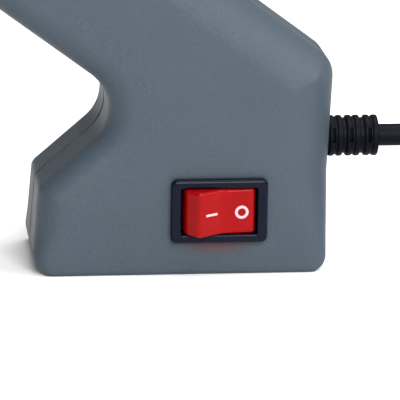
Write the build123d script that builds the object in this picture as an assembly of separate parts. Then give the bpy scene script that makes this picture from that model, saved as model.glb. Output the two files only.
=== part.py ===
"""Corded trigger glue gun that stands on its flat handle base and a hinged wire stand.

The frame: +Z is up from the table, -X is where the nozzle points, +X is the cord side, and the
near shell with the switch is at -Y. The origin is on the table, under the middle of the base.
Two local frames are used besides: the handle's (across, along) and the barrel's (forward, up).
All sizes are millimetres.
"""
import math
import os

from build123d import *

# ---------------------------------------------------------------- driving dimensions
HALF = 17.0               # half the thickness of the body
WALL = 2.4                # housing wall
EDGE = 5.5                # soft edge of the housing
BASE_FRONT = -33.4        # foot, at the table
BASE_REAR = 31.7          # rear face, at the table
REAR_LEAN = 2.0           # how far the rear face leans out at its top
REAR_TOP = 45.6
FOOT_CORNER = (-31.83, 19.23)
FOOT_SLOPE = 41.0         # degrees, the top of the foot
HANDLE_ANGLE = 36.3       # degrees above the table
HANDLE_MIDDLE = (-19.7, 64.7)
HANDLE_BACK = -16.25      # across the handle, to its back line
HANDLE_FRONT = 16.75      # across the handle, to its finger line
HANDLE_LENGTH = 78.0      # from the handle's middle point to the barrel axis
BARREL_DROP = 33.0        # degrees that the barrel points below level
BARREL_REAR = -50.0
BARREL_FRONT = 66.0
BARREL_HALF = 18.0        # half the barrel's height
STICK_BORE = 12.4         # clears an 11.2 mm glue stick
NOZZLE_TIP = 112.0
TRIGGER_HALF = 8.0        # half the trigger's width
PIVOT = (-4.0, -26.0)     # trigger pin in the barrel frame
SWITCH_MIDDLE = (7.45, 14.95)
SWITCH_SIZE = (21.3, 14.35)
SWITCH_CASE = (19.0, 13.0)
ROCKER_SIZE = (16.3, 10.1)
BEZEL_PROUD = 2.0         # from the flank to the bezel's face
ROCKER_TILT = 17.0        # degrees from level to either resting side
ROCKER_DEPTH = 2.55       # from the bezel's face down to the rocker's axle
AXLE_RADIUS = 1.0         # the rocker's two pips
CORD = 5.0                # cord diameter
CORD_HEIGHT = 27.1        # cord axis above the table where it leaves
BOOT_END = 44.75          # far end of the strain relief
STAND_PIVOT = (60.0, -21.0)
STAND_WIRE = 3.0
STAND_LEAN = 10.0         # degrees that the deployed stand leans back to the handle
COIL_MIDDLE = (115.2, 9.8)
COIL_INNER = 20.0         # radius of the innermost turn's middle
COIL_OUTER = 30.4         # radius of the outermost turn's middle
COIL_TOP = 18.2           # height of the fourth layer's middle
SCREW_SHANK = 3.0
SCREW_HEAD = 5.6


# ---------------------------------------------------------------- frames
def turned(degrees):
    """Unit vector in the side view at an angle from +X towards +Z."""
    return math.cos(math.radians(degrees)), math.sin(math.radians(degrees))


ALONG = turned(180 - HANDLE_ANGLE)
ACROSS = (-ALONG[1], ALONG[0])
FORWARD = turned(180 + BARREL_DROP)
UP = (FORWARD[1], -FORWARD[0])


def step(start, *moves):
    """A side view point moved by (direction, distance) pairs."""
    x, z = start
    for direction, distance in moves:
        x += direction[0] * distance
        z += direction[1] * distance
    return x, z


def handle_point(across, along):
    return step(HANDLE_MIDDLE, (ACROSS, across), (ALONG, along))


BARREL_START = handle_point(0, HANDLE_LENGTH)


def barrel_point(forward, up):
    return step(BARREL_START, (FORWARD, forward), (UP, up))


def crossing(a, a_way, b, b_way):
    """Where two side view lines cross."""
    turn = a_way[0] * b_way[1] - a_way[1] * b_way[0]
    gap = (b[0] - a[0], b[1] - a[1])
    run = (gap[0] * b_way[1] - gap[1] * b_way[0]) / turn
    return step(a, (a_way, run))


def side_frame(point, way, up):
    """Frame with local X along way and local Z along up. Local Y is the near side."""
    return Plane(origin=(point[0], 0, point[1]), x_dir=(way[0], 0, way[1]), z_dir=(up[0], 0, up[1]))


BARREL = side_frame(BARREL_START, FORWARD, UP)
HANDLE = side_frame(HANDLE_MIDDLE, ACROSS, ALONG)


def placed(frame, shape):
    return frame.location * shape


# ---------------------------------------------------------------- small solids
def box(low, high):
    """Box between two corners."""
    size = [b - a for a, b in zip(low, high)]
    middle = [(a + b) / 2 for a, b in zip(low, high)]
    return Pos(*middle) * Box(*size)


def rod_x(radius, start, end, y=0, z=0):
    return Pos((start + end) / 2, y, z) * Rot(0, 90, 0) * Cylinder(radius, end - start)


def rod_y(radius, start, end, x=0, z=0):
    return Pos(x, (start + end) / 2, z) * Rot(90, 0, 0) * Cylinder(radius, end - start)


def near_or_far(side, a, b):
    """Low and high local Y for a span on one side. Local Y points to the near side."""
    return sorted((-side * a, -side * b))


def ring_x(outer, inner, start, end):
    return rod_x(outer, start, end) - rod_x(inner, start - 1, end + 1)


def turned_part(points):
    """Solid turned about local X from (x, radius) points, closed along the axis."""
    profile = make_face(Polyline(*points, close=True))
    return revolve(profile, Axis.X)


# ---------------------------------------------------------------- housing
def housing_outline():
    """Corners of the whole body in the side view, and the radius at each."""
    back = handle_point(HANDLE_BACK, 0)
    fingers = handle_point(HANDLE_FRONT, 0)
    rear_way = (REAR_LEAN, REAR_TOP)
    corners = [
        ((BASE_FRONT, 0), 4.5),
        ((BASE_REAR, 0), 3.5),
        (crossing(back, ALONG, (BASE_REAR, 0), rear_way), 6.0),
        (crossing(back, ALONG, barrel_point(0, 5 - BARREL_HALF), FORWARD), 14.0),
        (barrel_point(BARREL_REAR, 5 - BARREL_HALF), 5.0),
        (barrel_point(BARREL_REAR, BARREL_HALF), 8.0),
        (barrel_point(BARREL_FRONT, BARREL_HALF - 1), 1.5),
        (barrel_point(BARREL_FRONT, -BARREL_HALF), 1.5),
        (crossing(fingers, ALONG, barrel_point(0, -BARREL_HALF), FORWARD), 7.0),
        (crossing(FOOT_CORNER, turned(FOOT_SLOPE), fingers, ALONG), 9.5),
        (FOOT_CORNER, 2.5),
    ]
    return [point for point, _ in corners], [radius for _, radius in corners]


def housing_face():
    points, radii = housing_outline()
    return make_face(FilletPolyline(*points, radius=radii, close=True))


SCREW_PLACES = [
    (-24.5, 8.5),
    (25.0, 8.5),
    (22.0, 44.5),
    handle_point(-8.5, 22),
    barrel_point(-40, 12.2),
    barrel_point(-18, 13.1),
    barrel_point(20, 13.1),
    barrel_point(49, -13.4),
]


def half_shell(side):
    """Half of the body. side is -1 for the near shell and +1 for the far one."""
    block = extrude(Plane.XZ * housing_face(), HALF)
    flank = block.faces().sort_by(Axis.Y)[0].edges()
    block = fillet(flank, EDGE)
    hollow_face = offset(housing_face(), amount=-WALL, kind=Kind.INTERSECTION)
    hollow = extrude(Plane.XZ * hollow_face, HALF - WALL)
    rim = hollow.faces().sort_by(Axis.Y)[0].edges()
    hollow = fillet(rim, 2.0)
    shell = block - hollow
    if side > 0:
        shell = mirror(shell, Plane.XZ)
    return shell


def boss(side, x, z, radius):
    """Screw post from the inside of the flank to the joint between the shells."""
    low, high = sorted((side * (HALF - WALL + 0.3), 0))
    return rod_y(radius, low, high, x, z)


def carriage_rails(side):
    low, high = near_or_far(side, 3.0, HALF - WALL + 0.3)
    return placed(BARREL, box((-22, low, 9.4), (14, high, 11.4)))


def chamber_cradle(side):
    """Ribs that hold the two insulating rings of the heating chamber."""
    low, high = near_or_far(side, 0.0, HALF - WALL + 0.3)
    ribs = Part()
    for start in (32.0, 36.0, 53.7, 57.7):
        rib = box((start, low, -16.2), (start + 1.1, high, 15.5)) - rod_x(11.4, start - 1, start + 2)
        ribs += placed(BARREL, rib - box((start - 1, -8, 0), (start + 2, 8, 14.6)))
    return ribs


def stand_ear(side):
    """Ear under the barrel that carries one end of the wire stand."""
    forward, up = STAND_PIVOT
    low, high = near_or_far(side, 8.0, 13.5)
    ear = box((forward - 3.6, low, up), (forward + 3.6, high, 1.8 - BARREL_HALF))
    ear += rod_y(3.6, low, high, forward, up)
    ear -= rod_y(STAND_WIRE / 2 + 0.06, low - 1, high + 1, forward, up)
    return placed(BARREL, ear)


def shell_openings():
    """Everything that passes out of the body, cut from both shells."""
    return [
        placed(BARREL, rod_x(9.3, BARREL_REAR - 6, BARREL_REAR + 8)),
        placed(BARREL, rod_x(14.2, BARREL_FRONT - WALL - 1, BARREL_FRONT + 2)),
        placed(HANDLE, box((6, -TRIGGER_HALF - 0.6, 12.8), (24, TRIGGER_HALF + 0.6, 49.2))),
        rod_x(4.15, BASE_REAR - 6, BASE_REAR + 6, 0, CORD_HEIGHT),
    ]


def near_housing():
    """Near shell, with the switch opening and the cord clamp posts."""
    shell = half_shell(-1) + carriage_rails(-1) + chamber_cradle(-1) + stand_ear(-1)
    for x, z in SCREW_PLACES:
        shell += boss(-1, x, z, 3.0)
    for rise in (-6.8, 6.8):
        shell += rod_y(2.6, -HALF + WALL - 0.5, 2.4, 22.5, CORD_HEIGHT + rise)
        shell -= rod_y(1.06, -8, 3, 22.5, CORD_HEIGHT + rise)
    shell += pin_posts(-1)
    for cut in shell_openings():
        shell -= cut
    x, z = SWITCH_MIDDLE
    wide, tall = SWITCH_CASE[0] / 2 + 0.2, SWITCH_CASE[1] / 2 + 0.2
    shell -= box((x - wide, -HALF - 1, z - tall), (x + wide, -HALF + WALL + 3, z + tall))
    for x, z in SCREW_PLACES:
        shell -= rod_y(SCREW_SHANK / 2 + 0.05, -11, 1, x, z)
    return shell


def far_housing():
    """Far shell, with the recesses that the housing screws enter by."""
    shell = half_shell(1) + carriage_rails(1) + chamber_cradle(1) + stand_ear(1)
    for x, z in SCREW_PLACES:
        shell += boss(1, x, z, 3.8)
    shell += pin_posts(1)
    for cut in shell_openings():
        shell -= cut
    for x, z in SCREW_PLACES:
        shell -= rod_y(SCREW_SHANK / 2 + 0.12, -1, HALF, x, z)
        shell -= rod_y(SCREW_HEAD / 2 + 0.3, HALF - 4.2, HALF + 1, x, z)
    return shell


def pin_posts(side):
    """Blind post for one end of the trigger pin."""
    x, z = barrel_point(*PIVOT)
    low, high = sorted((side * 12.3, side * (HALF - WALL + 0.3)))
    post = rod_y(3.4, low, high, x, z)
    low, high = sorted((side * 10, side * 13.6))
    return post - rod_y(1.56, low, high, x, z)


def housing_screws():
    """Pan head screws, all driven from the far side."""
    screws = []
    for x, z in SCREW_PLACES:
        head = rod_y(SCREW_HEAD / 2, HALF - 4.2, HALF - 2.2, x, z)
        head = fillet(head.faces().sort_by(Axis.Y)[-1].edges(), 0.8)
        shank = rod_y(SCREW_SHANK / 2, -10, HALF - 4.2, x, z)
        cross = box((x - 1.4, HALF - 3.2, z - 0.35), (x + 1.4, HALF, z + 0.35))
        cross += box((x - 0.35, HALF - 3.2, z - 1.4), (x + 0.35, HALF, z + 1.4))
        screws.append(head + shank - cross)
    return screws


# ---------------------------------------------------------------- barrel
def front_collar():
    """Heat resistant ring that closes the front of the barrel around the nozzle."""
    points = [(62.4, 11.6), (62.4, 14.0), (66.1, 14.0), (66.1, 16.6), (70.0, 16.2), (79.0, 13.0)]
    points += [(80.0, 12.2), (80.0, 10.4), (68.0, 10.4)]
    collar = turned_part(points)
    for turn in range(0, 360, 45):
        vent = Rot(turn, 0, 0) * box((71.5, 9, -1.1), (77.5, 20, 1.1))
        collar -= vent
    return placed(BARREL, collar)


def inlet_ring():
    """Flared ring that the glue stick enters by."""
    bore = STICK_BORE / 2
    points = [(-52.2, bore + 1.6), (-52.2, 10.4), (-51.2, 11.2), (-50.05, 11.2), (-50.05, 9.2)]
    points += [(-46.0, 9.2), (-46.0, bore), (-49.4, bore)]
    return placed(BARREL, turned_part(points))


def stick_guide_tube():
    tube = ring_x(7.6, STICK_BORE / 2, -45.9, -14.0)
    tube += ring_x(9.2, 7.0, -45.9, -44.4)
    return placed(BARREL, tube)


def inlet_sleeve():
    """Soft sleeve that seals the glue stick where it enters the chamber."""
    points = [(15.6, 6.3), (15.6, 8.2), (27.0, 8.8), (32.0, 8.8), (32.0, 7.3), (25.0, 7.3), (25.0, 6.3)]
    return placed(BARREL, turned_part(points))


def heating_chamber():
    """Cast chamber: neck, tapering melt bore, heater pocket on top and nozzle socket."""
    body = turned_part([
        (25.1, 0), (25.1, 7.2), (33.0, 7.2), (33.0, 8.6), (79.0, 8.6), (81.0, 7.6), (81.0, 0),
    ])
    body += box((36, -6.6, 0), (60, 6.6, 13.4))
    bore = turned_part([(24, 0), (24, 6.1), (56, 6.1), (68, 2.6), (72, 2.6), (72, 4.1), (82, 4.1), (82, 0)])
    pocket = box((35, -5.2, 9.3), (58, 5.2, 12.3))
    return placed(BARREL, body - bore - pocket)


def insulating_rings():
    """Mica rings that hold the chamber off the plastic."""
    rings = []
    for start in (33.25, 54.95):
        ring = rod_x(13.6, start, start + 2.6) - rod_x(8.7, start - 1, start + 4)
        if start > 40:
            ring -= box((start - 1, -6.8, 0), (start + 4, 6.8, 14.5))
        rings.append(placed(BARREL, ring))
    return rings


def heater_element():
    """Flat ceramic heater in the chamber's pocket."""
    return placed(BARREL, box((36.4, -5.0, 9.4), (57.8, 5.0, 12.2)))


def heater_clip():
    """Spring steel strap over the chamber's top that presses on the pocket."""
    strap = box((43, -7.4, 6), (50, 7.4, 14.2)) - box((42, -6.7, 5), (51, 6.7, 13.5))
    return placed(BARREL, strap)


def thermal_fuse():
    """Axial fuse on the chamber's flank, with its two leads."""
    fuse = rod_x(1.9, 39, 51, 10.6, -2) + rod_x(0.5, 37.2, 53.4, 10.6, -2)
    return placed(BARREL, fuse)


def nozzle():
    """Brass nozzle: thread, hexagon and long cone."""
    body = turned_part([
        (74.0, 0), (74.0, 4.0), (81.1, 4.0), (81.1, 6.4), (84.6, 6.4), (84.6, 6.0), (98.0, 5.2),
        (108.0, 2.6), (NOZZLE_TIP, 1.9), (NOZZLE_TIP, 0),
    ])
    hexagon = Pos(88, 0, 0) * Rot(0, 90, 0) * extrude(RegularPolygon(6.5, 6), 5.6)
    bore = turned_part([
        (73, 0), (73, 3.2), (80, 3.2), (88, 2.6), (102, 2.6), (107, 0.8), (113, 0.8), (113, 0),
    ])
    return placed(BARREL, body + hexagon - bore)


def nozzle_boot():
    """Silicone boot over the nozzle's cone that keeps fingers off the hot brass."""
    points = [(94.0, 5.7), (94.0, 8.4), (96.0, 8.8), (103.0, 6.6), (105.4, 5.2), (105.4, 4.1), (98.0, 5.9)]
    return placed(BARREL, turned_part(points))


def valve_ball():
    return placed(BARREL, Pos(102.0, 0, 0) * Sphere(2.0))


def coil_spring(radius, wire, pitch, turns):
    """Round wire spring along local Z."""
    path = Helix(pitch=pitch, height=pitch * turns, radius=radius)
    section = Plane(origin=path @ 0, z_dir=path % 0) * Circle(wire)
    return sweep(section, path)


def valve_spring():
    spring = coil_spring(1.7, 0.25, 1.8, 6)
    return placed(BARREL, Pos(88.2, 0, 0) * Rot(0, 90, 0) * spring)


# ---------------------------------------------------------------- trigger and feed
def trigger():
    """Finger lever with a fork above its pin that pushes the feed carriage."""
    points = [(9.6, 18.6), (17.0, 17.4), (28.0, 18.4), (27.6, 25.0), (29.0, 34.0), (33.6, 43.0),
              (26.0, 47.4), (13.4, 48.4), (11.4, 58.0), (1.2, 57.4), (0.4, 48.0), (9.0, 37.0)]
    radii = [1.5, 3.0, 3.0, 12.0, 20.0, 3.0, 2.0, 1.0, 3.0, 3.0, 3.0, 8.0]
    outline = FilletPolyline(*points, radius=radii, close=True)
    lever = extrude(Plane.XZ * make_face(outline), TRIGGER_HALF, both=True)
    flanks = lever.faces().sort_by(Axis.Y)
    lever = fillet(flanks[0].edges() + flanks[-1].edges(), 1.8)
    lever = placed(HANDLE, lever)
    forward, up = PIVOT
    fork = rod_y(4.2, -9.8, 9.8, forward, up)
    for low in (-9.8, 7.8):
        prong = box((forward - 3.1, low, up), (forward + 3.1, low + 2.0, 2.6))
        fork += prong - box((forward - 1.8, low - 1, -2.4), (forward + 1.8, low + 3, 3))
    lever += placed(BARREL, fork)
    return lever - placed(BARREL, rod_y(1.55, -20, 20, forward, up))


def trigger_pin():
    return placed(BARREL, rod_y(1.5, -13.4, 13.4, *PIVOT))


def trigger_spring():
    """Torsion spring beside the trigger hub, that pushes the lever out again."""
    forward, up = PIVOT
    spring = coil_spring(2.5, 0.4, 0.8, 2)
    return placed(BARREL, Pos(forward, 11.85, up) * Rot(90, 0, 0) * spring)


def feed_carriage():
    """Carriage around the glue stick, with trunnions that sit in the trigger's fork."""
    forward = PIVOT[0]
    block = box((-13, -7.4, -11), (3, 7.4, 9.1)) - rod_x(STICK_BORE / 2 + 0.2, -14, 4)
    block = chamfer(block.edges().filter_by(Axis.X), 0.8)
    pins = rod_y(1.5, -10.4, -7.0, forward, 0) + rod_y(1.5, 7.0, 10.4, forward, 0)
    ears = box((3, -7.4, -11), (7.0, -5.9, -7.6)) + box((3, 5.9, -11), (7.0, 7.4, -7.6))
    ears -= rod_y(1.05, -9, 9, 5.2, -9.3)
    return placed(BARREL, block + pins + ears)


def gripper_pin():
    return placed(BARREL, rod_y(1.0, -7.4, 7.4, 5.2, -9.3))


def stick_gripper():
    """Steel plate that tilts on its pin and bites the glue stick."""
    plate = box((5.0, -5.7, -8.0), (6.6, 5.7, 8.6)) + rod_y(2.0, -5.7, 5.7, 5.2, -9.3)
    plate += box((5.0, -5.7, -9.3), (6.6, 5.7, -7.9))
    plate += box((5.0, -7.3, -6.9), (6.6, 7.3, 8.6))
    plate -= rod_x(STICK_BORE / 2 + 0.35, 0, 9)
    plate -= rod_y(1.04, -10, 10, 5.2, -9.3)
    return placed(BARREL, plate)


# ---------------------------------------------------------------- switch
def switch_body():
    """Bezel and case of the rocker switch."""
    x, z = SWITCH_MIDDLE
    wide, tall = SWITCH_SIZE[0] / 2, SWITCH_SIZE[1] / 2
    bezel = box((x - wide, -HALF - BEZEL_PROUD, z - tall), (x + wide, -HALF, z + tall))
    bezel = fillet(bezel.edges().filter_by(Axis.Y), 1.3)
    bezel = chamfer(bezel.faces().sort_by(Axis.Y)[0].edges(), 0.8)
    wide, tall = SWITCH_CASE[0] / 2, SWITCH_CASE[1] / 2
    case = box((x - wide, -HALF, z - tall), (x + wide, -4.0, z + tall))
    wide, tall = ROCKER_SIZE[0] / 2 + 0.25, ROCKER_SIZE[1] / 2 + 0.2
    well = box((x - wide, -HALF - 3, z - tall), (x + wide, -6.0, z + tall))
    axle_y = ROCKER_DEPTH - HALF - BEZEL_PROUD
    axle_holes = Pos(x, axle_y, z) * Cylinder(AXLE_RADIUS + 0.05, ROCKER_SIZE[1] + 2.2)
    return bezel + case - well - axle_holes


def rocker():
    """Two position rocker, resting with its cord side half pressed in.

    Its outline is (along, outward) from the axle with the rocker level, and every point is
    less than half the well's width from the axle, so that the rocker turns freely.
    """
    x, z = SWITCH_MIDDLE
    level = [(-6.4, 4.5), (-8.05, 0.8), (-7.6, -2.4), (-6.0, -5.2), (6.0, -5.2), (7.6, -2.4),
             (8.05, 0.8), (6.85, 4.3), (0.0, 2.7)]
    radii = [0.5, 2.0, 2.0, 1.0, 1.0, 2.0, 2.0, 0.5, 5.0]
    tilt = math.radians(ROCKER_TILT)
    axle_y = ROCKER_DEPTH - HALF - BEZEL_PROUD
    points = []
    for along, outward in level:
        shift = along * math.cos(tilt) + outward * math.sin(tilt)
        rise = outward * math.cos(tilt) - along * math.sin(tilt)
        points.append((x + shift, axle_y - rise))
    profile = make_face(FilletPolyline(*points, radius=radii, close=True))
    tall = ROCKER_SIZE[1]
    pips = Pos(x, axle_y, z) * Cylinder(AXLE_RADIUS, tall + 2)
    return Pos(0, 0, z - tall / 2) * extrude(profile, tall) + pips


def switch_lamp():
    """Neon lamp behind the translucent rocker."""
    x, z = SWITCH_MIDDLE
    return box((x - 2.5, -8.4, z - 1.4), (x + 2.5, -6.1, z + 1.4))


def switch_terminals():
    x, z = SWITCH_MIDDLE
    tabs = []
    for along in (-6.5, 0.0, 6.5):
        tab = box((x + along - 0.4, -3.95, z - 2.4), (x + along + 0.4, 3.5, z + 2.4))
        tabs.append(tab - rod_x(0.8, x + along - 2, x + along + 2, 1.6, z))
    return tabs


# ---------------------------------------------------------------- cord entry
def strain_relief():
    """Ribbed boot: inner flange, neck through the wall and three double ribs."""
    core = rod_x(4.0, 26.0, BOOT_END - 0.4, 0, CORD_HEIGHT) + rod_x(6.2, 27.2, 29.0, 0, CORD_HEIGHT)
    for start in (33.6, 37.5, 41.55):
        for rib in (start, start + 1.8):
            ring = rod_x(4.6, rib, rib + 1.4, 0, CORD_HEIGHT)
            core += fillet(ring.edges().filter_by(GeomType.CIRCLE), 0.45)
        core += rod_x(4.3, start + 0.3, start + 2.9, 0, CORD_HEIGHT)
    core = core - rod_x(3.5, 28.9, 29.9, 0, CORD_HEIGHT) + rod_x(3.8, 28.8, 30.0, 0, CORD_HEIGHT)
    for start in (34.2, 38.1, 42.2):
        for low, high in ((-6, -3.1), (3.1, 6)):
            core -= box((start, low, CORD_HEIGHT - 0.6), (start + 0.9, high, CORD_HEIGHT + 2.6))
    return core - rod_x(CORD / 2, 20, 50, 0, CORD_HEIGHT)


def cord_clamp():
    """Bridge that holds the cord inside the base."""
    low, high = CORD_HEIGHT - 9.2, CORD_HEIGHT + 9.2
    bridge = box((19.9, 2.45, low), (25.1, 5.2, high))
    for rise in (-6.8, 6.8):
        bridge -= rod_y(1.15, 0, 8, 22.5, CORD_HEIGHT + rise)
    return bridge - rod_x(CORD / 2 + 0.02, 10, 30, 0, CORD_HEIGHT)


def cord_clamp_screws():
    screws = []
    for rise in (-6.8, 6.8):
        z = CORD_HEIGHT + rise
        screw = rod_y(1.0, -7, 5.25, 22.5, z) + rod_y(2.1, 5.25, 6.7, 22.5, z)
        slot = box((20, 6.2, z - 0.3), (25, 8, z + 0.3))
        screws.append(screw - slot)
    return screws


def wire_tube(points, radii, diameter):
    """Round tube along straight runs joined by tangent arcs."""
    path = FilletPolyline(*points, radius=radii)
    section = Plane(origin=path @ 0, z_dir=path % 0) * Circle(diameter / 2)
    return sweep(section, path)


def route_radii(points):
    """Largest arc for each corner of a cord's route."""
    radii = []
    for before, corner, after in zip(points, points[1:], points[2:]):
        a, b = Vector(*corner) - Vector(*before), Vector(*after) - Vector(*corner)
        half_turn = math.radians(a.get_angle(b)) / 2
        radii.append(0.45 * min(a.length, b.length) / math.tan(half_turn))
    return radii


def switch_leads():
    """Insulated core inside the base, from the cord's end to the switch."""
    x, z = SWITCH_MIDDLE
    points = [(17.9, 0.9, CORD_HEIGHT), (13.0, 3.0, 24.0), (x + 6.5, 6.6, z + 5.0), (x + 6.5, 5.0, z)]
    return wire_tube(points, [min(radius, 12) for radius in route_radii(points)], 1.6)


# ---------------------------------------------------------------- stand
def wire_stand():
    """Wire bail hinged under the barrel, splayed to a wide foot on the table."""
    pivot_x, pivot_z = barrel_point(*STAND_PIVOT)
    drop = pivot_z - STAND_WIRE / 2
    foot_x = pivot_x + drop * math.tan(math.radians(STAND_LEAN))
    foot_z = STAND_WIRE / 2
    side = [(pivot_x, 8.4, pivot_z), (pivot_x, 16.4, pivot_z), (foot_x, 26.0, foot_z)]
    points = side + [(x, -y, z) for x, y, z in reversed(side)]
    return wire_tube(points, [3.0, 7.0, 7.0, 3.0], STAND_WIRE)


# ---------------------------------------------------------------- cord and plug
LEAD_IN = [
    (19.0, 0, CORD_HEIGHT),
    (63.0, 0, CORD_HEIGHT),
    (85.0, -15.0, 2.6),
    (109.0, -20.0, 2.6),
]
TAIL = [
    (109.9, 39.7, COIL_TOP),
    (84.3, 35.2, 20.6),
    (73.2, 9.8, 24.4),
    (87.2, -11.2, 27.6),
    (113.2, -11.2, 27.6),
]


def cord_tube(name, points):
    radii = route_radii(points)
    tube = wire_tube(points, radii, CORD)
    length = FilletPolyline(*points, radius=radii).length
    print(name, "arc radii", [round(radius, 1) for radius in radii], "length", round(length, 1))
    print(name, "volume", round(tube.volume), "section times length", round(length * math.pi * CORD ** 2 / 4))
    return tube


def cord_coil():
    """Outer shape of the wound cord: a ring of three columns, four layers high."""
    inner, outer = COIL_INNER - CORD / 2, COIL_OUTER + CORD / 2
    top = COIL_TOP + CORD / 2
    ring = Pos(*COIL_MIDDLE, top / 2 + 0.05) * Cylinder(outer, top - 0.1)
    ring -= Pos(*COIL_MIDDLE, top / 2) * Cylinder(inner, top + 1)
    return fillet(ring.edges().filter_by(GeomType.CIRCLE), 2.0)


def plug_body():
    """Flat two pin plug with a hexagonal body and a tapered tail."""
    outline = [(-9, 3.6), (6, 4.6), (12, 13.0), (24, 17.4), (30, 17.4), (36, 13.4), (36, -13.4),
               (30, -17.4), (24, -17.4), (12, -13.0), (6, -4.6), (-9, -3.6)]
    radii = [1.0, 4.0, 4.0, 3.0, 2.0, 1.5, 1.5, 2.0, 3.0, 4.0, 4.0, 1.0]
    body = extrude(make_face(FilletPolyline(*outline, radius=radii, close=True)), 6.8, both=True)
    upper = [(-10, 3.2), (4, 4.6), (12, 6.8), (37, 6.8)]
    lower = [(x, -z) for x, z in reversed(upper)]
    taper = make_face(Polyline(*upper, *lower, close=True))
    body = body & extrude(Plane.XZ * taper, 30, both=True)
    return Pos(*TAIL[-1]) * Pos(9, 0, 0) * body


def plug_pins():
    """Two round pins, each with its insulating sleeve and a rounded tip."""
    pins = []
    for side in (-9.5, 9.5):
        pin = rod_x(2.0, 36.0, 55.0, side, 0)
        pin = fillet(pin.faces().sort_by(Axis.X)[-1].edges(), 1.4)
        pins.append(Pos(*TAIL[-1]) * Pos(9, 0, 0) * pin)
    return pins


# ---------------------------------------------------------------- writing
def nodes():
    """Every separate piece by name, as one solid or a list of equal fasteners."""
    return {
        "near_housing": near_housing(),
        "far_housing": far_housing(),
        "housing_screws": housing_screws(),
        "front_collar": front_collar(),
        "inlet_ring": inlet_ring(),
        "stick_guide_tube": stick_guide_tube(),
        "inlet_sleeve": inlet_sleeve(),
        "heating_chamber": heating_chamber(),
        "insulating_rings": insulating_rings(),
        "heater_element": heater_element(),
        "heater_clip": heater_clip(),
        "thermal_fuse": thermal_fuse(),
        "nozzle": nozzle(),
        "nozzle_boot": nozzle_boot(),
        "valve_ball": valve_ball(),
        "valve_spring": valve_spring(),
        "trigger": trigger(),
        "trigger_pin": trigger_pin(),
        "trigger_spring": trigger_spring(),
        "feed_carriage": feed_carriage(),
        "gripper_pin": gripper_pin(),
        "stick_gripper": stick_gripper(),
        "switch_body": switch_body(),
        "rocker": rocker(),
        "switch_lamp": switch_lamp(),
        "switch_terminals": switch_terminals(),
        "strain_relief": strain_relief(),
        "cord_clamp": cord_clamp(),
        "cord_clamp_screws": cord_clamp_screws(),
        "switch_leads": switch_leads(),
        "wire_stand": wire_stand(),
        "power_cord": cord_tube("power_cord", LEAD_IN),
        "cord_coil": cord_coil(),
        "cord_tail": cord_tube("cord_tail", TAIL),
        "plug_body": plug_body(),
        "plug_pins": plug_pins(),
    }


def write_parts():
    os.makedirs("parts", exist_ok=True)
    for name, shape in nodes().items():
        solids = shape if isinstance(shape, list) else [shape]
        flat = [solid for item in solids for solid in item.solids()]
        whole = flat[0] if len(flat) == 1 else Compound(children=flat)
        whole.label = name
        export_step(whole, f"parts/{name}.step")


write_parts()
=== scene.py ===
"""Looks for the glue gun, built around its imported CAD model.

Sizes are millimetres until a mesh or curve is made, and metres in Blender. +Z is up from the
table, -X is where the nozzle points, +X is the cord side and -Y the near side with the switch.
"""
import math

import bpy
import numpy as np
from mathutils import Matrix, Vector


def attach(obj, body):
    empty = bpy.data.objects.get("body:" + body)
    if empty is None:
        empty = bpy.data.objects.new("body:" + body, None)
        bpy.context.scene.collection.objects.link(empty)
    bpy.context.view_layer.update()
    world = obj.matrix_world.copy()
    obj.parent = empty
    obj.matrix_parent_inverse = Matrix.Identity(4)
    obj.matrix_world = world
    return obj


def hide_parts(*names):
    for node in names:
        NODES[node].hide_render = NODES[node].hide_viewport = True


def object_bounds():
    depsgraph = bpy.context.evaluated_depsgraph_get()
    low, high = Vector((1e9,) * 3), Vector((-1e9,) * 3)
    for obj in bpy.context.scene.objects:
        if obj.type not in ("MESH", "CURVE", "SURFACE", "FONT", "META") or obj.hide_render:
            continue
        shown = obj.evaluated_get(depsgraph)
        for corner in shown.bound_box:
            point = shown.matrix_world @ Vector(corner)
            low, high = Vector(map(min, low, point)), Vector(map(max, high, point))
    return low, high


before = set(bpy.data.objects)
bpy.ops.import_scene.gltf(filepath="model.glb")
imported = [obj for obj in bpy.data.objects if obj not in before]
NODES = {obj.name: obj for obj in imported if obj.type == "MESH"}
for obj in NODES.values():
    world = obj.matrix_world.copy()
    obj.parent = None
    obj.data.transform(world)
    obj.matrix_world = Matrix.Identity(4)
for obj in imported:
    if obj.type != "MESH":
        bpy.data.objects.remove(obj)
CAD_LOW, CAD_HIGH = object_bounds()

MM = 0.001

# ---------------------------------------------------------------- camera
CAMERA_PLACE = (-80.4, -751.6, 215.3)
CAMERA_YAW = 6.5          # degrees from +Y towards +X
CAMERA_PITCH = 15.0       # degrees below level
CAMERA_ROLL = 0.8
CAMERA_LENS = 315.0
CAMERA_SENSOR = 36.0


def make_camera():
    """Long lens aimed at the near side of the handle's base, as in the photograph."""
    yaw, pitch, roll = (math.radians(a) for a in (CAMERA_YAW, CAMERA_PITCH, CAMERA_ROLL))
    ahead = Vector((math.sin(yaw) * math.cos(pitch), math.cos(yaw) * math.cos(pitch), -math.sin(pitch)))
    right = Vector((math.cos(yaw), -math.sin(yaw), 0))
    top = right.cross(ahead)
    across = right * math.cos(roll) + top * math.sin(roll)
    upward = top * math.cos(roll) - right * math.sin(roll)
    camera = bpy.data.objects.new("camera", bpy.data.cameras.new("camera"))
    camera.matrix_world = Matrix((across, upward, -ahead)).transposed().to_4x4()
    camera.location = Vector(CAMERA_PLACE) * MM
    camera.data.lens = CAMERA_LENS
    camera.data.sensor_width = CAMERA_SENSOR
    bpy.context.scene.collection.objects.link(camera)
    bpy.context.scene.camera = camera


make_camera()


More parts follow.
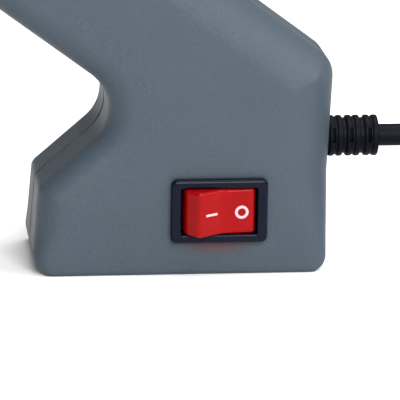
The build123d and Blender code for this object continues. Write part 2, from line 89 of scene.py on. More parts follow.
# ---------------------------------------------------------------- materials
class Finish:
    """A node material under construction: one shader, with colour and bump built up in steps."""

    def __init__(self, name, color, roughness, metallic=0.0, **sockets):
        self.material = bpy.data.materials.new(name)
        self.material.use_nodes = True
        self.nodes = self.material.node_tree.nodes
        self.links = self.material.node_tree.links
        self.shader = self.nodes["Principled BSDF"]
        self.color = (*color, 1.0)
        self.place = self.nodes.new("ShaderNodeTexCoord").outputs["Object"]
        self.bump = None
        self.shader.inputs["Base Color"].default_value = self.color
        self.shader.inputs["Roughness"].default_value = roughness
        self.shader.inputs["Metallic"].default_value = metallic
        for socket, value in sockets.items():
            self.shader.inputs[socket.replace("_", " ")].default_value = value

    def noise(self, size, detail=2.0):
        """Noise with features of about this size in millimetres."""
        texture = self.nodes.new("ShaderNodeTexNoise")
        texture.inputs["Scale"].default_value = 1 / (size * MM)
        texture.inputs["Detail"].default_value = detail
        self.links.new(self.place, texture.inputs["Vector"])
        return texture.outputs["Fac"]

    def spot(self, place, size):
        """1 at a place, in millimetres, falling to 0 at the given distances along each axis."""
        spread = self.nodes.new("ShaderNodeMapping")
        spread.inputs["Location"].default_value = [-middle / reach for middle, reach in zip(place, size)]
        spread.inputs["Scale"].default_value = [1 / (reach * MM) for reach in size]
        ball = self.nodes.new("ShaderNodeTexGradient")
        ball.gradient_type = "SPHERICAL"
        self.links.new(self.place, spread.inputs["Vector"])
        self.links.new(spread.outputs["Vector"], ball.inputs["Vector"])
        return ball.outputs["Fac"]

    def ramp(self, value, low, high):
        """A 0 to 1 value from where a texture passes between two levels."""
        span = self.nodes.new("ShaderNodeMapRange")
        span.inputs["From Min"].default_value = low
        span.inputs["From Max"].default_value = high
        self.links.new(value, span.inputs["Value"])
        return span.outputs["Result"]

    def tint(self, value, color, amount=1.0):
        """Mixes another colour in where value is high."""
        mix = self.nodes.new("ShaderNodeMix")
        mix.data_type = "RGBA"
        scale = self.nodes.new("ShaderNodeMath")
        scale.operation = "MULTIPLY"
        scale.inputs[1].default_value = amount
        self.links.new(value, scale.inputs[0])
        self.links.new(scale.outputs["Value"], mix.inputs["Factor"])
        previous = self.shader.inputs["Base Color"]
        if previous.is_linked:
            self.links.new(previous.links[0].from_socket, mix.inputs["A"])
        else:
            mix.inputs["A"].default_value = self.color
        mix.inputs["B"].default_value = (*color, 1.0)
        self.links.new(mix.outputs["Result"], self.shader.inputs["Base Color"])
        return self

    def rough(self, value, low, high):
        """Roughness that runs between two values with a texture."""
        span = self.nodes.new("ShaderNodeMapRange")
        span.inputs["To Min"].default_value = low
        span.inputs["To Max"].default_value = high
        self.links.new(value, span.inputs["Value"])
        self.links.new(span.outputs["Result"], self.shader.inputs["Roughness"])
        return self

    def relief(self, value, depth, strength=1.0):
        """Bump of this depth in millimetres, on top of any bump so far."""
        bump = self.nodes.new("ShaderNodeBump")
        bump.inputs["Distance"].default_value = depth * MM
        bump.inputs["Strength"].default_value = strength
        self.links.new(value, bump.inputs["Height"])
        if self.bump:
            self.links.new(self.bump, bump.inputs["Normal"])
        self.bump = bump.outputs["Normal"]
        self.links.new(self.bump, self.shader.inputs["Normal"])
        return self


RED_GLOW = (7.0, -17.0, 7.4)     # middle of the red light that the lit rocker throws on the shell, painted into the shell's colour
RED_GLOW_SIZE = (10.0, 6.0, 3.2)


def shell_plastic():
    """Blue grey moulded plastic with a fine spark eroded grain, and the rocker's red light painted on around
    the switch.
    """
    look = Finish("shell_plastic", (0.0350, 0.0490, 0.0640), 0.5, Specular_IOR_Level=0.25)
    grain = look.noise(0.34, 3.0)
    look.tint(look.ramp(look.noise(18.0, 3.0), 0.35, 0.7), (0.0300, 0.0430, 0.0570), 0.6)
    look.tint(look.ramp(grain, 0.54, 0.72), (0.0600, 0.0780, 0.0950), 0.5)
    # painted light: a pool of red from the lit rocker, tinted into the colour around the switch
    look.tint(look.ramp(look.spot(RED_GLOW, RED_GLOW_SIZE), 0.0, 0.7), (0.062, 0.024, 0.027), 0.8)
    look.rough(look.noise(6.0), 0.42, 0.56)
    look.relief(look.noise(1.5, 2.0), 0.09, 1.0)
    look.relief(grain, 0.06, 1.0)
    return look.material


def black_plastic(name, roughness):
    """Black moulded plastic with a fine grain."""
    look = Finish(name, (0.006, 0.0068, 0.0085), roughness, Specular_IOR_Level=0.22)
    grain = look.noise(0.25, 2.0)
    look.tint(look.ramp(look.noise(9.0), 0.4, 0.7), (0.012, 0.013, 0.016), 0.6)
    look.rough(look.noise(3.0), roughness - 0.06, roughness + 0.08)
    return look.relief(grain, 0.02, 0.5).material


def cord_sheath(name, color, worn):
    """Matt PVC with handling marks and fine grain."""
    look = Finish(name, color, 0.5, Specular_IOR_Level=0.05)
    look.tint(look.ramp(look.noise(2.5, 3.0), 0.5, 0.75), worn, 0.6)
    look.rough(look.noise(1.2), 0.40, 0.58)
    return look.relief(look.noise(0.35, 3.0), 0.02, 0.5).material


def switch_black():
    """Semi gloss navy black of the switch's bezel."""
    look = Finish("switch_black", (0.0014, 0.0028, 0.0085), 0.24, Specular_IOR_Level=0.10)
    look.tint(look.ramp(look.noise(1.6, 3.0), 0.5, 0.75), (0.0022, 0.0040, 0.0115), 0.7)
    look.rough(look.noise(2.0), 0.18, 0.34)
    return look.relief(look.noise(0.2, 2.0), 0.008, 0.4).material


def wire_red():
    """Insulation of the core that feeds the switch."""
    look = Finish("wire_red", (0.30, 0.015, 0.012), 0.45)
    look.tint(look.ramp(look.noise(1.0), 0.45, 0.7), (0.22, 0.010, 0.010), 0.6)
    return look.relief(look.noise(0.5), 0.02, 0.4).material


def lamp_glass():
    """Clear glass of the neon lamp."""
    look = Finish("lamp_glass", (0.95, 0.75, 0.6), 0.08, Transmission_Weight=0.8)
    look.rough(look.noise(0.8), 0.05, 0.14)
    return look.relief(look.noise(1.0), 0.02, 0.3).material


def metal(name, color, roughness, grain_size=0.4):
    """Metal with duller patches and fine tool marks."""
    look = Finish(name, color, roughness, metallic=1.0)
    dull = tuple(0.78 * c for c in color)
    look.tint(look.ramp(look.noise(4.0, 4.0), 0.42, 0.7), dull, 0.7)
    look.rough(look.noise(1.5, 3.0), roughness - 0.08, roughness + 0.12)
    return look.relief(look.noise(grain_size), 0.012, 0.5).material


def silicone():
    """Soft red silicone that takes in a little light."""
    look = Finish("silicone", (0.38, 0.03, 0.018), 0.55)
    look.shader.inputs["Subsurface Weight"].default_value = 0.15
    look.shader.inputs["Subsurface Radius"].default_value = (0.002, 0.0006, 0.0004)
    look.tint(look.ramp(look.noise(5.0), 0.4, 0.7), (0.46, 0.05, 0.03), 0.6)
    return look.relief(look.noise(0.4, 3.0), 0.03, 0.5).material


def pale_board(name, color):
    """Matt ceramic or mica with a coarse surface."""
    look = Finish(name, color, 0.7)
    look.tint(look.ramp(look.noise(1.5, 4.0), 0.4, 0.7), tuple(0.8 * c for c in color), 0.7)
    return look.relief(look.noise(0.6, 4.0), 0.04, 0.6).material


def rocker_red():
    """Glossy red plastic that lets a little light in."""
    look = Finish("rocker_red", (0.21, 0.0006, 0.0014), 0.14, Specular_IOR_Level=0.10, Subsurface_Weight=0.3)
    look.shader.inputs["Subsurface Radius"].default_value = (0.003, 0.0003, 0.0004)
    look.tint(look.ramp(look.noise(3.0), 0.4, 0.7), (0.25, 0.0010, 0.0010), 0.5)
    look.rough(look.noise(1.5), 0.10, 0.20)
    return look.relief(look.noise(2.2, 1.0), 0.02, 0.3).material


def print_white():
    """Pinkish white ink of the rocker's marks."""
    look = Finish("print_white", (0.50, 0.33, 0.37), 0.4)
    look.tint(look.ramp(look.noise(0.3), 0.45, 0.75), (0.44, 0.26, 0.30), 0.5)
    return look.material


SHELL = shell_plastic()
BLACK = black_plastic("black_plastic", 0.42)
TRIGGER = black_plastic("trigger_plastic", 0.34)
SWITCH = switch_black()
CORD_LOOK = cord_sheath("cord_sheath", (0.0020, 0.0027, 0.0052), (0.0035, 0.0045, 0.0075))
BOOT_LOOK = cord_sheath("boot_rubber", (0.0016, 0.0022, 0.0040), (0.003, 0.004, 0.0065))
STEEL = metal("zinc_steel", (0.52, 0.53, 0.55), 0.32)
WIRE = metal("stand_wire", (0.60, 0.60, 0.62), 0.28, 0.5)
BRASS = metal("brass", (0.70, 0.47, 0.18), 0.30, 0.5)
NICKEL = metal("nickel", (0.72, 0.70, 0.66), 0.20, 0.5)
CAST = metal("cast_aluminium", (0.58, 0.58, 0.58), 0.45, 0.8)
SILICONE = silicone()
MICA = pale_board("mica", (0.50, 0.42, 0.30))
CERAMIC = pale_board("ceramic", (0.80, 0.78, 0.72))
LEAD = wire_red()
LAMP = lamp_glass()
RED = rocker_red()
PRINT = print_white()

NODE_LOOKS = {
    "near_housing": SHELL, "far_housing": SHELL, "housing_screws": STEEL, "front_collar": BLACK,
    "inlet_ring": BLACK, "stick_guide_tube": BLACK, "inlet_sleeve": SILICONE, "heating_chamber": CAST,
    "insulating_rings": MICA, "heater_element": CERAMIC, "heater_clip": STEEL, "thermal_fuse": STEEL,
    "nozzle": BRASS, "nozzle_boot": SILICONE, "valve_ball": STEEL, "valve_spring": STEEL,
    "trigger": TRIGGER, "trigger_pin": STEEL, "trigger_spring": STEEL, "feed_carriage": BLACK,
    "gripper_pin": STEEL, "stick_gripper": STEEL, "switch_body": SWITCH, "rocker": RED,
    "switch_lamp": LAMP, "switch_terminals": BRASS, "strain_relief": BOOT_LOOK, "cord_clamp": BLACK,
    "cord_clamp_screws": STEEL, "switch_leads": LEAD, "wire_stand": WIRE, "power_cord": CORD_LOOK,
    "cord_coil": CORD_LOOK, "cord_tail": CORD_LOOK, "plug_body": CORD_LOOK, "plug_pins": NICKEL,
}


def dress(piece, material):
    """Gives a piece one material in place of any it has."""
    piece.data.materials.clear()
    piece.data.materials.append(material)


for node_name, look in NODE_LOOKS.items():
    dress(NODES[node_name], look)

# ---------------------------------------------------------------- cord
CORD = 5.0
CORD_HEIGHT = 27.1
COIL_MIDDLE = (115.2, 9.8)
COIL_OUTER = 30.4
COIL_PITCH = 5.2          # from one turn to the next, and from one layer to the next
COIL_TURNS = 2            # turns in each layer
COIL_LAYERS = 4
COIL_START = -101.8       # degrees, where the lead-in joins the coil
COIL_LOW = 2.6
POINTS_PER_TURN = 15
CLIMB_POINTS = 13         # the part of a turn that climbs to the next layer
LEAD_IN = [(44.75, 0, 27.1), (50, 0, 27.1), (63, 0, 27.1), (85, -15, 2.6)]
TAIL = [(84.3, 35.2, 20.6), (73.2, 9.8, 24.4), (87.2, -11.2, 27.6), (113.2, -11.2, 27.6)]


def coil_points():
    """Four layers wound inward and outward by turns, each climbing from the last."""
    inner = COIL_OUTER - COIL_TURNS * COIL_PITCH
    radii, heights = [], []
    for layer in range(COIL_LAYERS):
        height = COIL_LOW + layer * COIL_PITCH
        ends = (COIL_OUTER, inner) if layer % 2 == 0 else (inner, COIL_OUTER)
        steps = COIL_TURNS * POINTS_PER_TURN
        radii += [ends[0] + (ends[1] - ends[0]) * i / steps for i in range(steps)]
        heights += [height] * steps
        if layer < COIL_LAYERS - 1:
            radii += [ends[1]] * CLIMB_POINTS
            heights += [height + COIL_PITCH * i / CLIMB_POINTS for i in range(CLIMB_POINTS)]
    points = []
    for i, (radius, height) in enumerate(zip(radii, heights)):
        angle = math.radians(COIL_START + 360 * i / POINTS_PER_TURN)
        x = COIL_MIDDLE[0] + radius * math.cos(angle)
        y = COIL_MIDDLE[1] + radius * math.sin(angle)
        points.append((x, y, height))
    return points


def nurbs_line(name, points):
    """Smooth curve that is pulled towards its points."""
    curve = bpy.data.curves.new(name, "CURVE")
    curve.dimensions = "3D"
    line = curve.splines.new("NURBS")
    line.points.add(len(points) - 1)
    for point, (x, y, z) in zip(line.points, points):
        point.co = (x * MM, y * MM, z * MM, 1)
    line.order_u = 3
    line.use_endpoint_u = True
    line.resolution_u = 8
    curve.use_fill_caps = True
    piece = bpy.data.objects.new(name, curve)
    bpy.context.scene.collection.objects.link(piece)
    return piece


def make_cord():
    """The whole mains cord, from the strain relief to the plug."""
    cord = nurbs_line("mains_cord", LEAD_IN + coil_points() + TAIL)
    cord.data.bevel_depth = CORD / 2 * MM
    cord.data.bevel_resolution = 6
    dress(cord, CORD_LOOK)
    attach(cord, "body_shell")
    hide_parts("power_cord", "cord_coil", "cord_tail")


make_cord()


# ---------------------------------------------------------------- solids from distances
def meet(a, b, edge):
    """What two solids share, with the edge between them rounded."""
    corner = np.hypot(np.maximum(a + edge, 0), np.maximum(b + edge, 0))
    return np.minimum(np.maximum(a, b), -edge) + corner


def join(a, b, fillet):
    """Two solids as one, with the corner between them filled."""
    return -meet(-a, -b, fillet)


def cut(a, b, edge):
    """The first solid without the second."""
    return meet(a, -b, edge)


def slab(value, low, high):
    return np.maximum(low - value, value - high)


def rounded_outline(corners):
    """Sides and corner arcs of a closed outline, from ((u, v), radius, edge) for each corner.

    It runs anticlockwise, and edge belongs to the side that starts at the corner.
    """
    points = [np.array(point, float) for point, _, _ in corners]
    ways = [b - a for a, b in zip(points, points[1:] + points[:1])]
    ways = [way / np.linalg.norm(way) for way in ways]
    starts, ends, arcs = [], [], []
    for i, (point, (_, radius, _)) in enumerate(zip(points, corners)):
        before, after = ways[i - 1], ways[i]
        turn = math.copysign(1, before[0] * after[1] - before[1] * after[0])
        half = math.acos(np.clip(before @ after, -1, 1)) / 2
        reach = radius * math.tan(half)
        middle = point - before * reach + np.array((-before[1], before[0])) * radius * turn
        arcs.append((middle, (point - middle) / np.linalg.norm(point - middle), math.cos(half), radius, turn))
        ends.append(point - before * reach)
        starts.append(point + after * reach)
    sides = []
    for i, (start, way) in enumerate(zip(starts, ways)):
        length = (ends[(i + 1) % len(ends)] - start) @ way
        sides.append((start, way, length, corners[i][2]))
    return sides, arcs


def outline_depth(outline, u, v):
    """Depth inside an outline, negative outside it, and the edge size wanted there."""
    sides, arcs = outline
    nearest = np.full(np.shape(u), 1e3)
    depth, edge, weight = -nearest, 0, 0
    for start, way, length, size in sides:
        du, dv = u - start[0], v - start[1]
        along = np.clip(du * way[0] + dv * way[1], 0, length)
        gap = np.hypot(du - along * way[0], dv - along * way[1])
        inward = dv * way[0] - du * way[1]
        depth = np.where(gap < nearest, np.copysign(gap, inward), depth)
        nearest = np.minimum(gap, nearest)
        share = (gap + 1.0) ** -4
        edge, weight = edge + share * size, weight + share
    for middle, way, reach, radius, turn in arcs:
        du, dv = u - middle[0], v - middle[1]
        away = np.hypot(du, dv)
        gap = np.where(du * way[0] + dv * way[1] >= away * reach, np.abs(away - radius), 1e3)
        depth = np.where(gap < nearest, (radius - away) * turn, depth)
        nearest = np.minimum(gap, nearest)
    return depth, edge / weight


def pulled(points, distance, cell):
    """Moves points onto the surface where the distance is zero."""
    small = 0.04 * cell
    for _ in range(4):
        here = distance(*points.T)
        slope = np.stack([distance(*(points + small * axis).T) - here for axis in np.eye(3)], 1) / small
        step = -(here / np.maximum((slope ** 2).sum(1), 0.2))[:, None] * slope
        points = points + np.clip(step, -0.5 * cell, 0.5 * cell)
    return points


def relaxed(points, faces):
    """Moves each vertex half way to the middle of its neighbours."""
    a, b = faces.ravel(), np.roll(faces, -1, 1).ravel()
    near, count = np.zeros_like(points), np.bincount(a, minlength=len(points))
    count = count + np.bincount(b, minlength=len(points))
    for k in range(3):
        near[:, k] = np.bincount(a, points[b, k], len(points)) + np.bincount(b, points[a, k], len(points))
    return 0.5 * points + 0.5 * near / count[:, None]


def surface(name, low, high, cell, distance):
    """Quad mesh of a solid: one vertex in each cell of a grid that its surface crosses."""
    low = np.array(low, float)
    counts = np.ceil((np.array(high) - low) / cell).astype(int)
    ticks = [low[k] + cell * np.arange(counts[k] + 1) for k in range(3)]
    inside = distance(*np.meshgrid(*ticks, indexing="ij")) < 0
    corners = np.zeros(counts, int)
    for i, j, k in np.ndindex(2, 2, 2):
        corners += inside[i:i + counts[0], j:j + counts[1], k:k + counts[2]]
    crossed = (corners > 0) & (corners < 8)
    number = np.full(counts, -1)
    number[crossed] = np.arange(crossed.sum())
    points = low + cell * (np.argwhere(crossed) + 0.5)
    faces = []
    for axis in range(3):
        order = (axis, (axis + 1) % 3, (axis + 2) % 3)
        solid, cells = inside.transpose(order), number.transpose(order)
        start, end = solid[:-1, 1:-1, 1:-1], solid[1:, 1:-1, 1:-1]
        i, j, k = np.nonzero(start != end)
        quads = np.stack([cells[i, j, k], cells[i, j + 1, k], cells[i, j + 1, k + 1], cells[i, j, k + 1]], 1)
        entering = end[i, j, k]
        quads[entering] = quads[entering][:, ::-1]
        faces.append(quads)
    faces = np.concatenate(faces)
    points = pulled(points, distance, cell)
    for _ in range(3):
        points = pulled(relaxed(points, faces), distance, cell)
    mesh = bpy.data.meshes.new(name)
    mesh.from_pydata(points * MM, [], faces)
    mesh.shade_smooth()
    piece = bpy.data.objects.new(name, mesh)
    bpy.context.scene.collection.objects.link(piece)
    return piece


# ---------------------------------------------------------------- body
HALF = 17.0               # half the thickness of the body
WALL = 2.4
BASE_FRONT = -33.4
BASE_REAR = 31.7
REAR_LEAN = 2.0           # how far the rear face leans out at its top
REAR_TOP = 45.6
FOOT_CORNER = (-31.83, 19.23)
FOOT_SLOPE = 41.0         # degrees, the top of the foot
HANDLE_ANGLE = 36.3       # degrees above the table
HANDLE_MIDDLE = (-19.7, 64.7)
HANDLE_BACK = -16.25
HANDLE_FRONT = 16.75
HANDLE_LENGTH = 78.0
BARREL_DROP = 33.0        # degrees that the barrel points below level
BARREL_REAR = -50.0
BARREL_FRONT = 66.0
BARREL_HALF = 18.0
STAND_PIVOT = (60.0, -21.0)
EAR_RADIUS = 3.6          # the ears that carry the stand
EAR_BORE = 1.58
INLET_RADIUS = 9.3
COLLAR_RADIUS = 14.2
BOOT_RADIUS = 4.15        # the hole for the strain relief's neck
TRIGGER_HALF = 8.0        # half the trigger's width
BOSS_RADIUS = 3.8
BOSS_START = 8.0          # from the middle of the body to the far shell's bosses
RECESS_RADIUS = 3.1
RECESS_DEPTH = 4.2
SCREW_HOLE = 1.62
SOFT_EDGE = 10.5          # rounding of the palm side
FOOT_EDGE = 1.6           # rounding where the sides meet the base
EDGE_GROWTH = 0.42        # how fast that rounding grows with height
FINGER_EDGE = 5.5         # rounding of the finger side and the barrel
CRISP_EDGE = 1.0          # rounding at the base and the barrel's front end
CROWN = 0.55              # how far the flanks fall away towards their edges
CROWN_REACH = 17.0
SEAM = 0.10               # half the gap between the shells
NOTCH_GAPE = 0.55         # how much further each retreats at the finger notch
NOTCH_REACH = 9.0         # how far around the notch that fades away
SHELL_CELL = 0.62         # grid step of the shells' meshes
SWITCH_MIDDLE = (7.45, 14.95)
SWITCH_SIZE = (21.3, 14.35)
SWITCH_CASE = (19.0, 13.0)
ROCKER_SIZE = (16.3, 10.1)
BEZEL_FACE = -HALF - 2.0
ROCKER_AXLE = BEZEL_FACE + 2.55
ROCKER_TILT = math.radians(17)   # from level to the resting side


def turned(degrees):
    """Unit vector in the side view at an angle from +X towards +Z."""
    return np.array((math.cos(math.radians(degrees)), math.sin(math.radians(degrees))))


ALONG = turned(180 - HANDLE_ANGLE)
ACROSS = np.array((-ALONG[1], ALONG[0]))
FORWARD = turned(180 + BARREL_DROP)
UP = np.array((FORWARD[1], -FORWARD[0]))


def handle_point(across, along):
    return np.array(HANDLE_MIDDLE) + across * ACROSS + along * ALONG


BARREL_START = handle_point(0, HANDLE_LENGTH)


def barrel_point(forward, up):
    return BARREL_START + forward * FORWARD + up * UP


def crossing(a, a_way, b, b_way):
    """Where two side view lines cross."""
    gap = np.array(b) - np.array(a)
    turn = a_way[0] * b_way[1] - a_way[1] * b_way[0]
    return np.array(a) + np.array(a_way) * (gap[0] * b_way[1] - gap[1] * b_way[0]) / turn


def body_outline():
    """The body in the side view, with the rounding of each side's edge."""
    back, fingers = handle_point(HANDLE_BACK, 0), handle_point(HANDLE_FRONT, 0)
    rear_way = (REAR_LEAN, REAR_TOP)
    rear_foot = (BASE_REAR, 0)
    return rounded_outline([
        ((BASE_FRONT, 0), 4.5, CRISP_EDGE),
        (rear_foot, 3.5, SOFT_EDGE),
        (crossing(back, ALONG, rear_foot, rear_way), 6.0, SOFT_EDGE),
        (crossing(back, ALONG, barrel_point(0, 5 - BARREL_HALF), FORWARD), 14.0, FINGER_EDGE),
        (barrel_point(BARREL_REAR, 5 - BARREL_HALF), 5.0, FINGER_EDGE),
        (barrel_point(BARREL_REAR, BARREL_HALF), 8.0, FINGER_EDGE),
        (barrel_point(BARREL_FRONT, BARREL_HALF - 1), 1.5, CRISP_EDGE),
        (barrel_point(BARREL_FRONT, -BARREL_HALF), 1.5, FINGER_EDGE),
        (crossing(fingers, ALONG, barrel_point(0, -BARREL_HALF), FORWARD), 7.0, FINGER_EDGE),
        (crossing(FOOT_CORNER, turned(FOOT_SLOPE), fingers, ALONG), 9.5, FINGER_EDGE),
        (FOOT_CORNER, 2.5, FINGER_EDGE),
    ])


BODY = body_outline()
NOTCH = crossing(FOOT_CORNER, turned(FOOT_SLOPE), handle_point(HANDLE_FRONT, 0), ALONG)
SCREW_PLACES = [
    (-24.5, 8.5), (25.0, 8.5), (22.0, 44.5), handle_point(-8.5, 22), barrel_point(-40, 12.2),
    barrel_point(-18, 13.1), barrel_point(20, 13.1), barrel_point(49, -13.4),
]


def body_distance(x, y, z):
    """Solid body with soft edges and lightly crowned flanks."""
    depth, edge = outline_depth(BODY, x, z)
    edge = np.minimum(edge, FOOT_EDGE + EDGE_GROWTH * np.maximum(z, 0))
    flank = HALF - CROWN * (1 - np.clip(depth / CROWN_REACH, 0, 1)) ** 2
    inward, outward = edge - depth, np.abs(y) - (flank - edge)
    corner = np.hypot(np.maximum(inward, 0), np.maximum(outward, 0))
    return corner + np.minimum(np.maximum(inward, outward), 0) - edge


def in_frame(x, z, origin, way, up):
    """Side view coordinates along way and along up, from an origin."""
    dx, dz = x - origin[0], z - origin[1]
    return dx * way[0] + dz * way[1], dx * up[0] + dz * up[1]


def openings(x, y, z):
    """Everything that passes out of the body."""
    forward, up = in_frame(x, z, BARREL_START, FORWARD, UP)
    across, along = in_frame(x, z, HANDLE_MIDDLE, ACROSS, ALONG)
    barrel = np.hypot(y, up)
    inlet = np.maximum(barrel - INLET_RADIUS, forward - BARREL_REAR - 8)
    collar = np.maximum(barrel - COLLAR_RADIUS, BARREL_FRONT - WALL - 1 - forward)
    slot = np.maximum(slab(across, 6, 24), slab(along, 12.8, 49.2))
    slot = np.maximum(slot, np.abs(y) - TRIGGER_HALF - 0.6)
    boot = np.maximum(np.hypot(y, z - CORD_HEIGHT) - BOOT_RADIUS, slab(x, BASE_REAR - 6, BASE_REAR + 6))
    return np.minimum(np.minimum(inlet, collar), np.minimum(slot, boot))


def stand_ear(x, y, z):
    """Pierced ear under the barrel that carries one end of the wire stand."""
    forward, up = in_frame(x, z, barrel_point(*STAND_PIVOT), FORWARD, UP)
    pivot = np.hypot(forward, up)
    web = np.maximum(np.abs(forward) - EAR_RADIUS, slab(up, 0, 4.6))
    tab = meet(np.minimum(pivot - EAR_RADIUS, web), slab(np.abs(y), 8.0, 13.5), 0.5)
    return cut(tab, pivot - EAR_BORE, 0.3)


def shell_distance(side, body, x, y, z):
    """One half of the hollow body, with its openings. body is the solid body's distance."""
    shell = meet(body, -body - WALL, 0.2)
    shell = join(shell, stand_ear(x, y, z), 0.8)
    notch = np.hypot(x - NOTCH[0], z - NOTCH[1])
    half_gap = SEAM + NOTCH_GAPE * np.exp(-(notch / NOTCH_REACH) ** 2)
    shell = meet(shell, half_gap - side * y, 0.35)
    return cut(shell, openings(x, y, z), 0.5)


def panel(x, z, wide, tall, corner):
    """Rounded rectangle around the switch's middle, in the side view."""
    across = np.abs(x - SWITCH_MIDDLE[0]) - wide / 2
    rise = np.abs(z - SWITCH_MIDDLE[1]) - tall / 2
    return meet(across, rise, corner)


def near_shell_distance(x, y, z):
    """The near half, with the hole for the switch."""
    shell = shell_distance(-1, body_distance(x, y, z), x, y, z)
    hole = panel(x, z, SWITCH_CASE[0] + 0.4, SWITCH_CASE[1] + 0.4, 0.1)
    return cut(shell, np.maximum(hole, y + HALF - WALL - 3), 0.2)


def far_shell_distance(x, y, z):
    """The far half, with a boss and a deep recess for each screw."""
    body = body_distance(x, y, z)
    shell = shell_distance(1, body, x, y, z)
    for place_x, place_z in SCREW_PLACES:
        away = np.hypot(x - place_x, z - place_z)
        boss = np.maximum(away - BOSS_RADIUS, slab(y, BOSS_START, HALF - WALL + 0.3))
        shell = join(shell, np.maximum(boss, body), 0.2)
        shell = cut(shell, np.maximum(away - RECESS_RADIUS, HALF - RECESS_DEPTH - y), 0.4)
        shell = cut(shell, away - SCREW_HOLE, 0.2)
    return shell


def make_shells():
    """Meshes of the two halves, each in a grid a little larger than itself."""
    front = barrel_point(BARREL_FRONT, BARREL_HALF)[0] - 1
    rear = BASE_REAR + REAR_LEAN + 1.5
    top = CAD_HIGH.z / MM + 1
    near = surface("near_shell", (front, -HALF - 1, -1), (rear, 1, top), SHELL_CELL, near_shell_distance)
    far = surface("far_shell", (front, -1, -1), (rear, HALF + 1, top), SHELL_CELL, far_shell_distance)
    for piece, node in ((near, "near_housing"), (far, "far_housing")):
        dress(piece, SHELL)
        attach(piece, "body_shell")
        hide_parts(node)


make_shells()


# ---------------------------------------------------------------- switch
SWITCH_CELL = 0.22        # grid step of the switch's meshes
MARK_CELL = 0.08
ROCKER_EDGE = 0.7
ROCKER_LEVEL = [          # the level rocker's corners and their radii, from its axle
    ((-6.4, 4.5), 0.9),
    ((-8.05, 0.8), 2.0),
    ((-7.6, -2.4), 2.0),
    ((-6.0, -5.2), 1.0),
    ((6.0, -5.2), 1.0),
    ((7.6, -2.4), 2.0),
    ((8.05, 0.8), 2.0),
    ((6.85, 4.3), 0.9),
    ((0.0, 2.7), 5.0),
]
LINE_MIDDLE = -3.1        # the marks' places along the rocker
RING_MIDDLE = 4.0
MARK_DROP = 0.2           # how far both sit below the rocker's middle
MARK_PROUD = 0.05         # how far they stand out
MARK_DEPTH = 0.2          # how far they reach into the rocker


def switch_distance(x, y, z):
    """Bezel with a rolled rim and a softly broken window, and the case behind it."""
    bezel = panel(x, z, SWITCH_SIZE[0], SWITCH_SIZE[1], 1.3)
    bezel = meet(bezel, slab(y, BEZEL_FACE, -HALF + 0.02), 0.9)
    case = np.maximum(panel(x, z, SWITCH_CASE[0], SWITCH_CASE[1], 0.3), slab(y, BEZEL_FACE + 1.0, -4.0))
    well = np.maximum(panel(x, z, ROCKER_SIZE[0] + 0.5, ROCKER_SIZE[1] + 0.4, 0.4), y + 6.0)
    return cut(np.minimum(bezel, case), well, 0.35)


def rocker_place(x, y):
    """Coordinates on the level rocker, along it and outward from its axle."""
    shift, rise = x - SWITCH_MIDDLE[0], ROCKER_AXLE - y
    along = shift * math.cos(ROCKER_TILT) - rise * math.sin(ROCKER_TILT)
    outward = shift * math.sin(ROCKER_TILT) + rise * math.cos(ROCKER_TILT)
    return along, outward


ROCKER_OUTLINE = rounded_outline([(point, radius, ROCKER_EDGE) for point, radius in ROCKER_LEVEL])


def rocker_distance(x, y, z):
    """The rocker's outline, as deep as the rocker is tall, with its edges rounded."""
    along, outward = rocker_place(x, y)
    depth, _ = outline_depth(ROCKER_OUTLINE, along, outward)
    return meet(-depth, np.abs(z - SWITCH_MIDDLE[1]) - ROCKER_SIZE[1] / 2, ROCKER_EDGE)


def mark_distance(x, y, z):
    """The line and the ring printed on the rocker's two faces."""
    along, outward = rocker_place(x, y)
    rise = z - SWITCH_MIDDLE[1] + MARK_DROP
    line = np.maximum(np.abs(along - LINE_MIDDLE) - 1.5, np.abs(rise) - 0.26)
    ring = np.abs(np.hypot(along - RING_MIDDLE, rise) - 1.18) - 0.30
    skin = slab(rocker_distance(x, y, z), -MARK_DEPTH, MARK_PROUD)
    return np.maximum(np.maximum(np.minimum(line, ring), skin), 2.0 - outward)


def make_bezel():
    x, z = SWITCH_MIDDLE
    wide, tall = SWITCH_SIZE[0] / 2 + 0.5, SWITCH_SIZE[1] / 2 + 0.5
    low, high = (x - wide, BEZEL_FACE - 0.5, z - tall), (x + wide, -3.5, z + tall)
    bezel = surface("switch_frame", low, high, SWITCH_CELL, switch_distance)
    dress(bezel, SWITCH)
    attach(bezel, "body_shell")
    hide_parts("switch_body")


def make_rocker():
    x, z = SWITCH_MIDDLE
    reach = ROCKER_SIZE[0] / 2 + 0.5
    low, high = (x - reach, ROCKER_AXLE - reach, z - 6), (x + reach, ROCKER_AXLE + reach, z + 6)
    cap = surface("rocker_cap", low, high, SWITCH_CELL, rocker_distance)
    dress(cap, RED)
    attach(cap, "rocker")
    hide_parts("rocker")


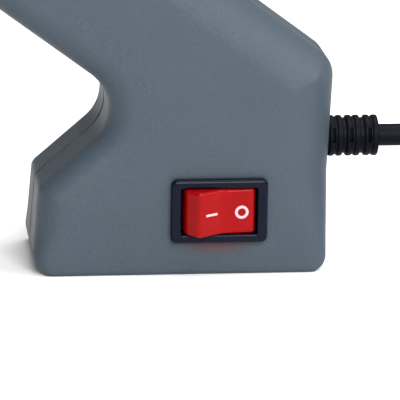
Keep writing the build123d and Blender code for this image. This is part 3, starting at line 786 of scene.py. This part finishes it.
def make_marks():
    """The line and the ring, each as its own mesh."""
    x, z = SWITCH_MIDDLE
    for name, left, right in (("line_mark", -6.5, 1.0), ("ring_mark", 1.0, 8.5)):
        low, high = (x + left, ROCKER_AXLE - 7.5, z - 2.6), (x + right, ROCKER_AXLE, z + 2.4)
        mark = surface(name, low, high, MARK_CELL, mark_distance)
        dress(mark, PRINT)
        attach(mark, "rocker")


make_bezel()
make_rocker()
make_marks()

# ---------------------------------------------------------------- floor and light
FLOOR_HALF = 3.0
FLOOR_DROP = 0.02         # below the object, so that nothing shares a surface with it
LIGHT_AIM = Vector((0.0, 0.0, 0.04))


def make_floor():
    """Plain pale floor, in metres each way from the object."""
    mesh = bpy.data.meshes.new("floor")
    corners = [(-1, -1), (1, -1), (1, 1), (-1, 1)]
    places = [(x * FLOOR_HALF, y * FLOOR_HALF, -FLOOR_DROP * MM) for x, y in corners]
    mesh.from_pydata(places, [], [(0, 1, 2, 3)])
    floor = bpy.data.objects.new("floor", mesh)
    bpy.context.scene.collection.objects.link(floor)
    look = Finish("floor", (0.80, 0.80, 0.80), 0.9)
    look.tint(look.ramp(look.noise(200.0), 0.4, 0.6), (0.78, 0.78, 0.78), 0.4)
    dress(floor, look.material)


def soft_light(name, place, size, power):
    """Rectangular studio light, in metres and watts."""
    lamp = bpy.data.lights.new(name, "AREA")
    lamp.shape = "RECTANGLE"
    lamp.size, lamp.size_y = size
    lamp.energy = power
    light = bpy.data.objects.new(name, lamp)
    light.location = place
    light.rotation_euler = (LIGHT_AIM - Vector(place)).to_track_quat("-Z", "Y").to_euler()
    bpy.context.scene.collection.objects.link(light)


def make_world(strength):
    """Even white light from all around."""
    world = bpy.data.worlds.new("studio")
    world.use_nodes = True
    background = world.node_tree.nodes["Background"]
    background.inputs["Color"].default_value = (1.0, 1.0, 1.0, 1.0)
    background.inputs["Strength"].default_value = strength
    bpy.context.scene.world = world


make_floor()
make_world(0.4)
soft_light("key", (0.2, -1.5, 0.95), (1.0, 0.8), 44.0)
soft_light("top", (0.4, 0.1, 1.5), (1.3, 1.3), 30.0)
soft_light("rear", (1.1, -0.5, 0.8), (0.7, 0.7), 8.0)
bpy.context.scene.view_settings.view_transform = "Standard"
